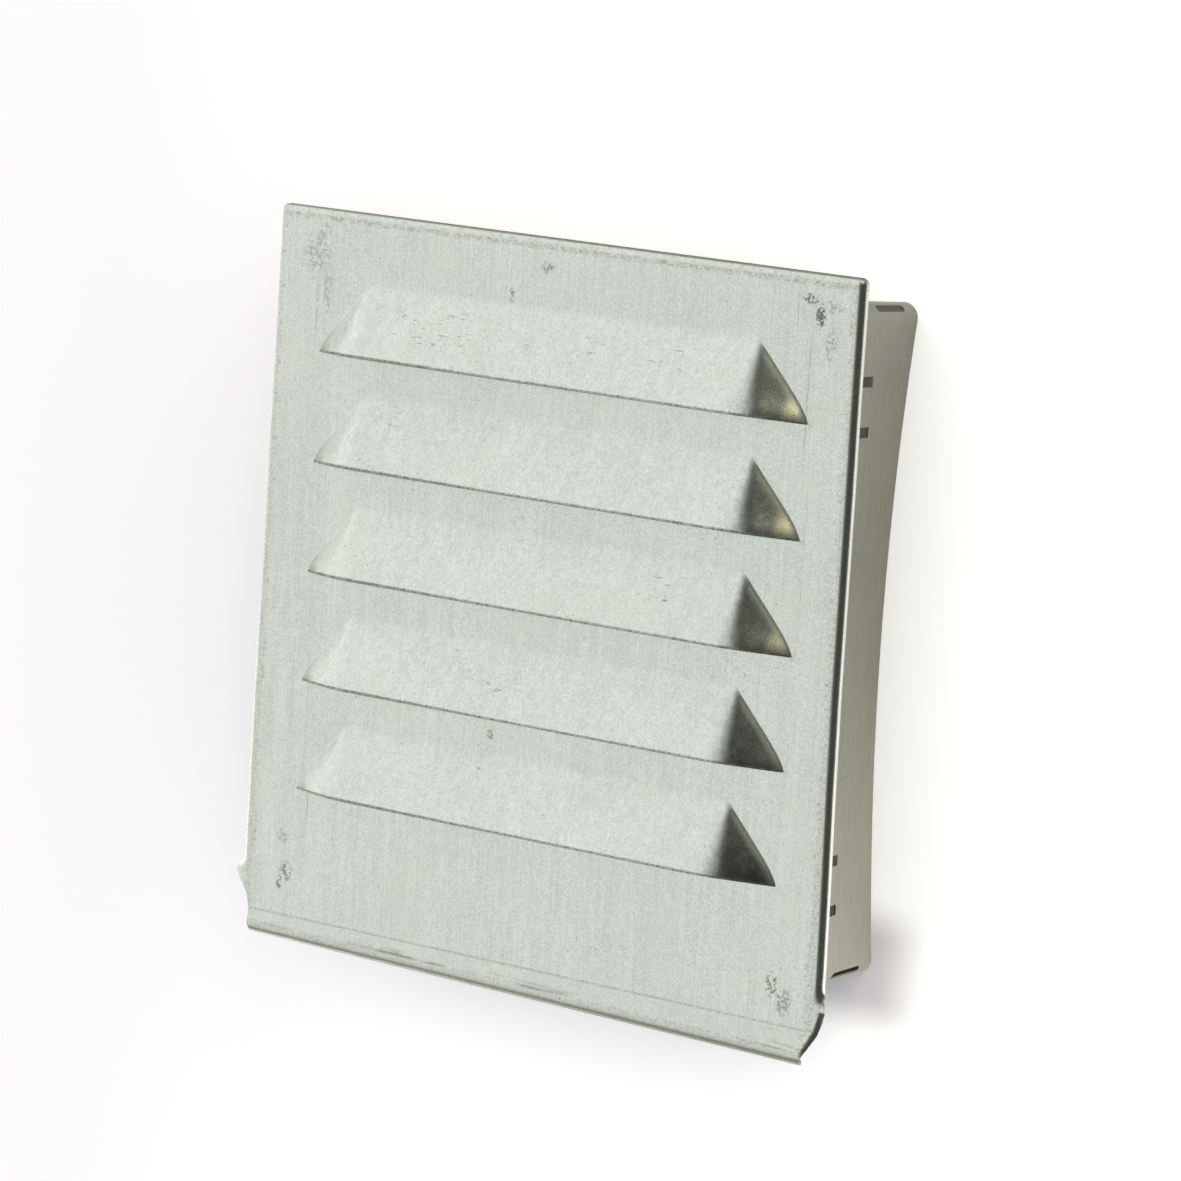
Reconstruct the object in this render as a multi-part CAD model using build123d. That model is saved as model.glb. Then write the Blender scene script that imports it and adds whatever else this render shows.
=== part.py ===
from build123d import *
import math
import os

# A louvred vent panel of galvanised sheet for a wall opening, in millimetres.
# The front faces -Y and +Z is up. The wall's face is the plane y = 0, and the wall sleeve goes into it
# along +Y. The origin lies on the wall's face, at the middle of the sleeve.

# Sheet and folds
sheet = 0.6
rim_depth = 3.2
rim_bend_radius = 2.4
rim_bend_angle = 90.0

# Front plate, its height measured up from the crease over the drip nose
plate_width = 230.0
plate_height = 241.0

# Louvres
louvre_count = 5
louvre_pitch = 37.2
louvre_length = 192.2
louvre_bank_shift = 1.4
lowest_tip_height = 44.4
louvre_rise = 24.0
louvre_reach = 10.3
louvre_lip_lift = 1.2
louvre_end_run = 20.0
louvre_end_bulge = 1.0
louvre_corner_radius = 7.0

# Drip nose under the crease
kick_angle = 27.0
kick_length_left = 4.15
kick_length_right = 7.65
nose_radius = 3.2

# Opened ends of the side folds, and the snipped lower corners
flare_run = 6.5
flare_angle = 15.0
flare_lip = 5.3
half_open_share = 0.3
half_open_height_share = 0.33
crease_angle = 5.0
crease_lip = 6.5
left_spur_height = 12.0
right_spur_height = 6.5
spur_reach = 3.2
left_knee_height = 5.0
left_knee_inset = 2.2
right_knee_height = 0.5
right_knee_inset = -0.6
left_foot_inset = 5.4
right_foot_inset = 4.5

# Wall sleeve
sleeve_width = 206.0
sleeve_height = 223.8
sleeve_lift = 8.0
sleeve_reach = 50.8
sleeve_corner_radius = 5.0
sleeve_bow = 5.0
sleeve_top_fall = 3.0
tab_width = 6.0
tab_setback = 9.0
slot_length = 17.0
slot_width = 2.8
slot_margin = 7.0
slot_bridge = 5.4
hole_length = 7.0
hole_height = 3.5
hole_depth = 25.9
hole_margins = (25.2, 41.65)

# One overrun serves all cuts
overrun = 12.0

# Places that follow from the sizes
front_y = -rim_depth
back_y = front_y + sheet
rim_lip = rim_depth - rim_bend_radius
crease_z = -sleeve_lift - sleeve_height / 2
top_z = crease_z + plate_height
flat_half = plate_width / 2 - rim_bend_radius
nose_turn = kick_angle + rim_bend_angle
louvre_slope = math.atan2(louvre_reach, louvre_rise - louvre_lip_lift)
lip_tilt = math.atan2(louvre_lip_lift, louvre_reach)
sleeve_depth = sleeve_reach - back_y


def sheet_section(path):
    """The section of a folded sheet: an open outline of its outer face, with the thickness on its left."""
    return make_face(offset(path, amount=sheet, side=Side.LEFT).edges())


def bend_section(angle, lip):
    """The section of an edge fold, from the end of the flat outwards along X and back along Y."""
    bend = JernArc(start=(0, 0), tangent=(1, 0), radius=rim_bend_radius, arc_size=angle)
    return sheet_section(bend + Line(bend @ 1, bend @ 1 + (bend % 1) * lip))


def side_plane(height):
    """The level plane in which the right side fold's section is drawn."""
    return Plane(origin=(flat_half, front_y, height), x_dir=(1, 0, 0), z_dir=(0, 0, 1))


def side_fold(spur_height):
    """The right side fold: closed above the flare, opened outwards down to the crease."""
    closed = bend_section(rim_bend_angle, rim_lip)
    opened = bend_section(flare_angle, flare_lip)
    flattened = bend_section(crease_angle, crease_lip)
    spur_z = crease_z + spur_height
    flare_z = spur_z + flare_run
    half_open_z = spur_z + (flare_z - spur_z) * half_open_height_share
    half_open_lip = rim_lip + (flare_lip - rim_lip) * half_open_share
    half_open = bend_section((rim_bend_angle + flare_angle) / 2, half_open_lip)
    straight = extrude(side_plane(flare_z) * closed, amount=top_z - rim_bend_radius - flare_z)
    opening = loft([side_plane(flare_z) * closed, side_plane(half_open_z) * half_open,
                    side_plane(spur_z) * opened], ruled=True)
    foot = loft([side_plane(spur_z) * opened, side_plane(crease_z) * flattened])
    return straight + opening + foot


def top_fold():
    """The top fold along X, between the rounded corners."""
    end = (flat_half, front_y, top_z - rim_bend_radius)
    fold_plane = Plane(origin=end, x_dir=(0, 0, 1), z_dir=(-1, 0, 0))
    return extrude(fold_plane * bend_section(rim_bend_angle, rim_lip), amount=2 * flat_half)


def corner_fold():
    """The rounded right top corner, turned from the side fold's section."""
    section = side_plane(top_z - rim_bend_radius) * bend_section(rim_bend_angle, rim_lip)
    turn = Axis((flat_half, front_y, top_z - rim_bend_radius), (0, -1, 0))
    return revolve(section, turn, rim_bend_angle)


def kick_length(x):
    """Length of the kicked strip, which grows from left to right."""
    middle = (kick_length_left + kick_length_right) / 2
    return middle + (kick_length_right - kick_length_left) * x / plate_width


def nose_low(x):
    """Height of the drip nose's underside above the crease, at a place along it."""
    kick = math.radians(kick_angle)
    return -kick_length(x) * math.cos(kick) - nose_radius * (1 + math.sin(kick))


def nose_section(x):
    """The section of the kicked strip, the round nose and the lip that runs back to the wall."""
    section_plane = Plane(origin=(x, front_y, crease_z), x_dir=(0, 1, 0), z_dir=(1, 0, 0))
    kick = math.radians(kick_angle)
    flat = Line((0, nose_radius), (0, 0))
    strip = Line((0, 0), (-kick_length(x) * math.sin(kick), -kick_length(x) * math.cos(kick)))
    nose = JernArc(strip @ 1, (-math.sin(kick), -math.cos(kick)), nose_radius, nose_turn)
    lip = Line(nose @ 1, (rim_depth, nose_low(x)))
    return section_plane * sheet_section(flat + strip + nose + lip)


def drip_nose():
    """The kicked strip under the crease and the round nose that turns back to the wall."""
    end = plate_width / 2 + overrun
    return loft([nose_section(-end), nose_section(end)], ruled=True)


def corner_snip(spur_height, knee_height, knee_inset, foot_inset, low):
    """What the shears take off the right lower corner, outside the blank's spur, knee and foot."""
    half = plate_width / 2
    spur = (half + spur_reach, crease_z + spur_height)
    knee = (half - knee_inset, crease_z + knee_height)
    foot = (half - foot_inset, crease_z + low)
    below = (half - foot_inset, crease_z + low - overrun)
    outer_low = (half + 2 * overrun, crease_z + low - overrun)
    outer_high = (half + 2 * overrun, crease_z + spur_height)
    outline = make_face(Polyline(spur, knee, foot, below, outer_low, outer_high, close=True))
    front_plane = Plane(origin=(0, 0, 0), x_dir=(1, 0, 0), z_dir=(0, -1, 0))
    return extrude(front_plane * outline, amount=rim_depth + overrun, both=True)


def louvre_profile(inset, back):
    """The hood seen along its slope: a straight lip, soft corners and gently bulged ends."""
    half = louvre_length / 2 - inset / math.tan(math.atan2(louvre_reach, louvre_end_run) / 2)
    reach = louvre_reach / math.cos(lip_tilt) - inset
    corner = half - louvre_end_run * reach / louvre_reach
    chord = math.hypot(half - corner, reach)
    bulge_x = (half + corner) / 2 + louvre_end_bulge * reach / chord
    bulge_y = reach / 2 + louvre_end_bulge * (half - corner) / chord
    right_end = ThreePointArc((half, 0), (bulge_x, bulge_y), (corner, reach))
    left_end = ThreePointArc((-corner, reach), (-bulge_x, bulge_y), (-half, 0))
    front = Line((corner, reach), (-corner, reach))
    rear = Polyline((-half, 0), (-half, -back), (half, -back), (half, 0))
    outline = make_face(right_end + front + left_end + rear)
    soft = [v for v in outline.vertices() if abs(v.Y - reach) < sheet]
    return fillet(soft, radius=louvre_corner_radius - inset)


def louvre_hood(tip_z, inset, back, start):
    """The hood's profile pushed up and back along the slope, from a little below the lip by start."""
    up = Vector(0, math.sin(louvre_slope), math.cos(louvre_slope))
    centre = Vector(louvre_bank_shift, front_y, tip_z) - up * start
    mouth = Plane(origin=centre, x_dir=(1, 0, 0), z_dir=(0, -math.sin(lip_tilt), -math.cos(lip_tilt)))
    run = (louvre_rise + overrun) / math.cos(louvre_slope)
    return extrude(mouth * louvre_profile(inset, back), amount=run, dir=tuple(up))


def louvred_front_plate():
    """The pressed and folded front sheet."""
    flat_height = top_z - rim_bend_radius - crease_z
    flat = Pos(0, (front_y + back_y) / 2, crease_z + flat_height / 2) * Box(2 * flat_half, sheet, flat_height)
    left_fold = mirror(side_fold(left_spur_height), about=Plane.YZ)
    plate = flat + side_fold(right_spur_height) + left_fold
    plate += top_fold()
    plate += corner_fold()
    plate += mirror(corner_fold(), about=Plane.YZ)
    plate += drip_nose()
    right_low = nose_low(plate_width / 2)
    left_low = nose_low(-plate_width / 2)
    plate -= corner_snip(right_spur_height, right_knee_height, right_knee_inset, right_foot_inset, right_low)
    left_snip = corner_snip(left_spur_height, left_knee_height, left_knee_inset, left_foot_inset, left_low)
    plate -= mirror(left_snip, about=Plane.YZ)
    front_half = Pos(0, back_y - overrun, 0) * Box(2 * plate_width, 2 * overrun, 2 * plate_height)
    lining = sheet / math.cos(louvre_slope)
    for row in range(louvre_count):
        tip_z = crease_z + lowest_tip_height + row * louvre_pitch
        plate += louvre_hood(tip_z, 0, sheet, 0) & front_half
        plate -= louvre_hood(tip_z, lining, rim_depth, sheet)
    return plate


def sleeve_outline(inset, bow, fall):
    """The sleeve's outline across its depth, with its sides bowed in and its top lowered."""
    half = sleeve_width / 2 - inset
    low = -sleeve_height / 2 + inset
    high = sleeve_height / 2 - inset - fall
    radius = sleeve_corner_radius - inset
    middle = (low + high) / 2

    def side(start, through, end):
        return ThreePointArc(start, through, end) if bow else Line(start, end)

    right = side((half, low + radius), (half - bow, middle), (half, high - radius))
    high_right = RadiusArc((half, high - radius), (half - radius, high), -radius)
    top = side((half - radius, high), (0, high - bow), (radius - half, high))
    high_left = RadiusArc((radius - half, high), (-half, high - radius), -radius)
    left = side((-half, high - radius), (bow - half, middle), (-half, low + radius))
    low_left = RadiusArc((-half, low + radius), (radius - half, low), -radius)
    bottom = side((radius - half, low), (0, low + bow), (half - radius, low))
    low_right = RadiusArc((half - radius, low), (half, low + radius), -radius)
    return make_face(right + high_right + top + high_left + left + low_left + bottom + low_right)


def across(y):
    """The upright plane across the sleeve at a place along Y."""
    return Plane(origin=(0, y, 0), x_dir=(1, 0, 0), z_dir=(0, -1, 0))


def sleeve_shell(inset):
    """The sleeve's outer or inner form, from its straight front edges to its bowed rear edges."""
    front = across(back_y) * sleeve_outline(inset, 0, 0)
    rear = across(sleeve_reach) * sleeve_outline(inset, sleeve_bow, sleeve_top_fall)
    return loft([front, rear], ruled=True)


def sleeve_tab(length, distance, turn):
    """A front tab turned in from one wall, to be welded to the plate's back."""
    half = length / 2 - tab_setback
    root = distance - sheet / 2
    tip = distance - sheet - tab_width
    corners = ((-half, root), (half, root), (half - tab_width, tip), (tab_width - half, tip))
    outline = make_face(Polyline(*corners, close=True))
    return extrude(across(back_y) * (Rot(0, 0, turn) * outline), amount=-sheet)


def corner_slots():
    """The relief slots along the four corner folds, two in line on each."""
    slots = []
    for number in range(2):
        along = slot_margin + slot_length / 2 + number * (slot_length + slot_bridge)
        fall = sleeve_top_fall * along / sleeve_depth
        for side in (-1, 1):
            for end in (-1, 1):
                bend_x = side * (sleeve_width / 2 - sleeve_corner_radius)
                bend_z = end * (sleeve_height / 2 - sleeve_corner_radius) - (fall if end > 0 else 0)
                place = Plane(origin=(bend_x, back_y + along, bend_z), x_dir=(0, 1, 0), z_dir=(side, 0, end))
                slots.append(extrude(place * SlotOverall(slot_length, slot_width), amount=overrun))
    return slots


def side_holes():
    """The small oblong holes through both side walls, a pair near each end."""
    fall = sleeve_top_fall * hole_depth / sleeve_depth
    levels = [-sleeve_height / 2 + margin for margin in hole_margins]
    levels += [sleeve_height / 2 - fall - margin for margin in hole_margins]
    return [Pos(0, back_y + hole_depth, level) * Box(sleeve_width + overrun, hole_length, hole_height)
            for level in levels]


def wall_sleeve():
    """The folded strip that lines the wall opening."""
    sleeve = sleeve_shell(0) - sleeve_shell(sheet)
    for turn in (0, 180):
        sleeve += sleeve_tab(sleeve_width, sleeve_height / 2, turn)
        sleeve += sleeve_tab(sleeve_height, sleeve_width / 2, turn + 90)
    for cutter in corner_slots() + side_holes():
        sleeve -= cutter
    return sleeve


os.makedirs("parts", exist_ok=True)
export_step(louvred_front_plate(), "parts/louvred_front_plate.step")
export_step(wall_sleeve(), "parts/wall_sleeve.step")
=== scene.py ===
import math

import bpy
import numpy as np
from mathutils import Matrix, Vector
from mathutils.geometry import delaunay_2d_cdt


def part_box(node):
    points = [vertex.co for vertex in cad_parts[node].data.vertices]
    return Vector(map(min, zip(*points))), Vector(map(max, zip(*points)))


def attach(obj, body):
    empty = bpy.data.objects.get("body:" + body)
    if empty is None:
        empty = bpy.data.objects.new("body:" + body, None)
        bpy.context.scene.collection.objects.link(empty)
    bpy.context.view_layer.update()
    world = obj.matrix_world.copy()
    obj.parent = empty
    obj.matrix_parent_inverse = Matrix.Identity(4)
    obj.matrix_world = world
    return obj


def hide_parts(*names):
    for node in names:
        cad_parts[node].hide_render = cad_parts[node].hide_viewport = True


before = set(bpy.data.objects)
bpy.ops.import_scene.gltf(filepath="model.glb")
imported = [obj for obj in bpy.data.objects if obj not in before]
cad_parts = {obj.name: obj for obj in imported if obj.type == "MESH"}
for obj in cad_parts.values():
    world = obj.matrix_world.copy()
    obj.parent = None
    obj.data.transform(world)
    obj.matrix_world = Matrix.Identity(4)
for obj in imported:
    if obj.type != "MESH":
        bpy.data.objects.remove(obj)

bl_info = {
    "name": "Louvred vent panel",
    "version": (1, 0, 0),
    "blender": (4, 5, 0),
    "location": "3D View > Sidebar > Vent panel",
    "description": "Makes a louvred vent panel of galvanised sheet, its wall sleeve and its light",
    "category": "Add Mesh",
}

# The CAD boxes of the two sheet pieces
plate_low, plate_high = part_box("louvred_front_plate")
sleeve_low, sleeve_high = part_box("wall_sleeve")
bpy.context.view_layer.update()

# The part's own sizes in metres, as its solids have them
SHEET = 0.0006
RIM_DEPTH = 0.0032
FRONT = -RIM_DEPTH
BACK = FRONT + SHEET
# Shares of a sideways and of an inward distance that show from the front right
SEEN_SIDE = 0.834
SEEN_DEPTH = 0.552
# How far a snipped corner's foot, knee and spur stand past half the width, and its knee's height
LEFT_SNIP = (-0.0050, -0.0018, 0.0)
RIGHT_SNIP = (-0.0034, 0.0014, 0.0001)
LEFT_KNEE = 0.005
RIGHT_KNEE = 0.0005
# How far above its spur the right fold is fully open, and how far in its bend then starts
OPEN_RISE = 0.0018
OPEN_SHIFT = 0.0022
# How far the right corner's snipped edge is rolled in at the spur
EDGE_ROLL = math.radians(78)
# The least sheet between a bend's start and the snipped edge
SNIP_MARGIN = 0.0036
# How far the drip nose's rear lip is cut back at its right end
LIP_TRIM = 0.0023


def size(name, description, default, unit="LENGTH"):
    """A size that a user may change."""
    return bpy.props.FloatProperty(name=name, description=description, default=default, unit=unit,
                                   precision=5)


def colour(name, owner, default):
    """A colour that a user may change."""
    return bpy.props.FloatVectorProperty(name=name, description=f"Colour of {owner}", default=default, size=3,
                                         subtype="COLOR", min=0, max=1)


class PlateSizes(bpy.types.PropertyGroup):
    width: size("Width", "Plate width over its side folds", 0.230)
    top: size("Top", "Height of the top fold above the sleeve's middle", plate_high[2])
    crease: size("Crease", "Height of the crease over the drip nose", plate_high[2] - 0.241)
    fold_radius: size("Fold radius", "Outer radius of the side and top folds", 0.0024)
    kick_angle: size("Kick angle", "How far the strip under the crease kicks forward", math.radians(27),
                     "ROTATION")
    kick_left: size("Kick left", "Length of the strip under the crease, at its left end", 0.0032)
    kick_right: size("Kick right", "Length of the strip under the crease, at its right end", 0.0067)
    nose_radius: size("Nose radius", "Outer radius of the drip nose", 0.0032)
    flare_run: size("Flare run", "Height over which a side fold opens above its spur", 0.0060)
    flare_angle: size("Flare angle", "Angle of the side folds at their spurs", math.radians(12), "ROTATION")
    flare_gain: size("Flare gain", "Sheet that an opened side fold gains", 0.0006)
    spur_reach: size("Spur reach", "How far the spurs stand out at the sides", 0.0031)
    left_spur: size("Left spur", "Height of the left spur above the crease", 0.012)
    right_spur: size("Right spur", "Height of the right spur above the crease", 0.0065)


class LouvreSizes(bpy.types.PropertyGroup):
    count: bpy.props.IntProperty(name="Louvres", description="Louvres in the bank", default=5, min=1)
    pitch: size("Pitch", "Height from one louvre to the next", 0.0372)
    length: size("Length", "Length from tip to tip", 0.1922)
    shift: size("Shift", "How far the bank stands right of the plate's middle", 0.0014)
    lowest: size("Lowest tips", "Height of the lowest louvre's tips above the crease", 0.0444)
    rise: size("Rise", "Height of the hood above its tips", 0.024)
    reach: size("Reach", "How far the lip stands before the plate", 0.0102)
    lip_lift: size("Lip lift", "Height of the lip above the tips", 0.0012)
    corner: size("Corner softness", "Softness at the top of the corner between the face and its ends", 0.0009)
    corner_gain: bpy.props.FloatProperty(name="Corner gain", default=0.17,
                                         description="How fast that softness grows with the reach")
    top_bend: size("Top bend", "Softness of the bend at the top of the face", 0.0009)
    end_bend: size("End bend", "Softness of the crease round the ends", 0.00022)


class SleeveSizes(bpy.types.PropertyGroup):
    corner: size("Corner radius", "Outer radius of the sleeve's corner folds", 0.005)
    bow: size("Bow", "How far the rear edges bow inwards", 0.005)
    fall: size("Top fall", "How far the top wall falls towards its rear edge", 0.003)
    tab: size("Tab width", "Width of the tabs turned in behind the plate", 0.006)
    tab_setback: size("Tab setback", "Distance from a tab's end to the sleeve's corner", 0.009)
    tab_radius: size("Tab radius", "Outer radius of the fold between a wall and its tab", 0.0011)
    slot_length: size("Slot length", "Length of a relief slot", 0.017)
    slot_width: size("Slot width", "Width of a relief slot", 0.0028)
    slot_shift: size("Slot shift", "How far the lower slots stand up from the middle of their folds", 0.0016)
    slot_margin: size("Slot margin", "Distance from the front edge to the first slot", 0.007)
    slot_bridge: size("Slot bridge", "Sheet left between two slots", 0.0054)
    hole_length: size("Hole length", "Length of a side hole along the sleeve's depth", 0.007)
    hole_height: size("Hole height", "Height of a side hole", 0.0035)
    hole_depth: size("Hole depth", "Distance from the front edge to the holes' middle", 0.0259)
    first_margin: size("First margin", "Distance from the wall's end to the outer hole", 0.0252)
    second_margin: size("Second margin", "Distance from the wall's end to the inner hole", 0.04165)


class ZincColours(bpy.types.PropertyGroup):
    plate: colour("Plate zinc", "the plate's zinc", (0.615, 0.66, 0.605))
    dull: colour("Dull zinc", "the rolling streaks and handled zinc", (0.475, 0.515, 0.465))
    grime: colour("Grime", "the dirt and wear along the folds", (0.17, 0.16, 0.12))
    # This colour is also the painted shade along the top rim, the crease round the louvres' right ends, the
    # lips and the left tips
    scuff_and_shade: colour("Scuff", "the scuffs and press marks", (0.28, 0.29, 0.24))
    warm: colour("Warm zinc", "the zinc where it has yellowed", (0.60, 0.60, 0.51))
    # Painted shade on the louvres' right ends
    painted_end_shade: colour("Drawn zinc", "the zinc on the right ends of the louvres", (0.22, 0.23, 0.20))
    # Painted highlight at the lips' right corners
    painted_highlight_zinc: colour("Burnished zinc", "the lips' right corners", (0.88, 0.86, 0.66))
    # Painted highlight on the right fold's rim
    rim_highlight_zinc: colour("Rubbed zinc", "the rubbed edge of the right fold", (0.86, 0.88, 0.86))
    sleeve: colour("Sleeve zinc", "the sleeve's zinc", (0.62, 0.61, 0.56))


class StageSizes(bpy.types.PropertyGroup):
    azimuth: size("Azimuth", "Camera's turn to the panel's right", math.radians(33.52), "ROTATION")
    elevation: size("Elevation", "Camera's height above the horizon", math.radians(9.59), "ROTATION")
    roll: size("Roll", "Camera's roll", math.radians(3.60), "ROTATION")
    distance: size("Distance", "Camera's distance from its aim", 1.7355)
    lens: bpy.props.FloatProperty(name="Lens", description="Focal length on a 36 mm sensor", default=162.28)
    aim: bpy.props.FloatVectorProperty(name="Aim", description="Point that the camera looks at", size=3,
                                       default=(0.013156, 0.006660, 0.007052), subtype="XYZ", unit="LENGTH")
    board: size("Board", "Half width of the pale board behind the panel", 1.6)
    light: bpy.props.FloatProperty(name="Light", description="Strength of the surrounding light", default=1.0)


# Sheet metal in numbers: surfaces are arrays of points, thickened to closed sheet


def smooth_step(value, low, high):
    """0 below low, 1 above high, and smooth between."""
    share = np.clip((value - low) / (high - low), 0, 1)
    return share * share * (3 - 2 * share)


def smooth_least(a, b, softness):
    """The lesser of two values, rounded where they cross."""
    return np.minimum(a, b) - np.maximum(softness - np.abs(a - b), 0) ** 2 / (4 * softness)


def smooth_positive(value, softness):
    """The value where it is above 0, running smoothly into 0."""
    return np.where(value > softness, value, np.maximum(value + softness, 0) ** 2 / (4 * softness))


def joined(*parts):
    """Coordinates stretched to one shape and joined to points."""
    return np.stack(np.broadcast_arrays(*parts), axis=-1)


def stretches(*runs):
    """Even places over stretches, each from a start to an end by a count, with shared ends once."""
    return np.unique(np.concatenate([np.linspace(*run) for run in runs]))


def spread(share, left, right):
    """Places across the plate, at shares from its left end at -1 to its right end at 1."""
    return share * np.where(share < 0, left, right)


class Skin:
    """The outer skin of one sheet: patches of points and faces that are welded where they meet."""

    def __init__(self):
        self.points = []
        self.faces = []
        self.count = 0

    def add(self, points, faces):
        """Adds a patch of points and the faces between them."""
        self.points.append(np.asarray(points, dtype=float).reshape(-1, 3))
        self.faces += [tuple(int(corner) + self.count for corner in face) for face in faces]
        self.count += len(self.points[-1])

    def add_grid(self, points, flip=False):
        """Adds a grid of points, rows by columns, as four-sided faces."""
        rows, columns = points.shape[:2]
        corner = np.arange(rows * columns).reshape(rows, columns)
        quads = joined(corner[:-1, :-1], corner[:-1, 1:], corner[1:, 1:], corner[1:, :-1]).reshape(-1, 4)
        self.add(points, quads[:, ::-1] if flip else quads)

    def weld(self, reach=2e-6):
        """Joins points that lie together and drops faces that have closed up."""
        points = np.concatenate(self.points)
        keys = np.round(points / reach / 2).astype(np.int64)
        _, first, place = np.unique(keys, axis=0, return_index=True, return_inverse=True)
        place = place.reshape(-1)
        faces = []
        for face in self.faces:
            corners = []
            for corner in place[list(face)]:
                if corner not in corners:
                    corners.append(int(corner))
            if len(corners) > 2:
                faces.append(tuple(corners))
        return points[first], faces


def face_normals(points, faces):
    """One outward normal at each point, weighted by area."""
    normals = np.zeros_like(points)
    for corners in (3, 4):
        group = np.array([face for face in faces if len(face) == corners])
        if len(group) == 0:
            continue
        first = points[group[:, 2]] - points[group[:, 0]]
        second = points[group[:, -1]] - points[group[:, 1]]
        area = np.cross(first, second)
        for column in range(corners):
            np.add.at(normals, group[:, column], area)
    return normals / np.maximum(np.linalg.norm(normals, axis=1, keepdims=True), 1e-12)


def closed_sheet(name, skin, thickness):
    """Thickens a skin inwards to a closed sheet and makes its mesh object."""
    points, faces = skin.weld()
    inner = points - face_normals(points, faces) * thickness
    count = len(points)
    edges = dict.fromkeys(edge for face in faces for edge in zip(face, face[1:] + face[:1]))
    rims = [(end, start, start + count, end + count) for start, end in edges if (end, start) not in edges]
    backs = [tuple(corner + count for corner in reversed(face)) for face in faces]
    mesh = bpy.data.meshes.new(name)
    mesh.from_pydata(np.concatenate([points, inner]).tolist(), [], faces + backs + rims)
    mesh.validate()
    mesh.polygons.foreach_set("use_smooth", np.ones(len(mesh.polygons), dtype=bool))
    mesh.set_sharp_from_angle(angle=math.radians(40))
    mesh.update()
    piece = bpy.data.objects.new(name, mesh)
    bpy.context.collection.objects.link(piece)
    return piece


def field_border(bottom, top, left, right, rows):
    """Points round a field: along its bottom, up its right side, and back along its top and its left."""
    return np.concatenate([joined(bottom, rows[0]), joined(right, rows)[1:],
                           joined(top, rows[-1])[-2::-1], joined(left, rows)[-2:0:-1]])


def cut_field(border, holes, columns, rows, margin, step=1):
    """Triangles over a flat region with holes, through a net that keeps a margin from the holes."""
    inside = joined(*np.meshgrid(columns, rows)).reshape(-1, 2)
    for hole in holes:
        inside = inside[~inside_outline(inside, hole)]
        inside = inside[away_from(inside, hole[::step], margin)]
    spots = [tuple(point) for point in border]
    edges = [(start, (start + 1) % len(border)) for start in range(len(border))]
    for hole in holes:
        base = len(spots)
        spots += [tuple(point) for point in hole]
        edges += [(base + start, base + (start + 1) % len(hole)) for start in range(len(hole))]
    spots += [tuple(point) for point in inside]
    points, _, faces, _, _, _ = delaunay_2d_cdt([Vector(spot) for spot in spots], edges, [], 1, 1e-7)
    points = np.array([(point.x, point.y) for point in points])
    faces = np.array([tuple(face) for face in faces])
    middles = points[faces].mean(axis=1)
    kept = np.ones(len(faces), dtype=bool)
    for hole in holes:
        kept &= ~inside_outline(middles, np.array(hole))
    return points, faces[kept]


def inside_outline(points, outline):
    """Which points lie inside a closed outline."""
    result = np.zeros(len(points), dtype=bool)
    ends = np.roll(outline, -1, axis=0)
    for (x0, y0), (x1, y1) in zip(outline, ends):
        crosses = (y0 > points[:, 1]) != (y1 > points[:, 1])
        with np.errstate(divide="ignore", invalid="ignore"):
            at = (x1 - x0) * (points[:, 1] - y0) / (y1 - y0) + x0
        result ^= crosses & (points[:, 0] < at)
    return result


def away_from(points, outline, distance):
    """Which points lie at least a distance from an outline's own points and lines."""
    far = np.ones(len(points), dtype=bool)
    ends = np.roll(outline, -1, axis=0)
    for start, end in zip(outline, ends):
        run = end - start
        length = max(run @ run, 1e-18)
        share = np.clip(((points - start) @ run) / length, 0, 1)
        nearest = start + share[:, None] * run
        far &= np.linalg.norm(points - nearest, axis=1) > distance
    return far


# The front plate


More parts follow.
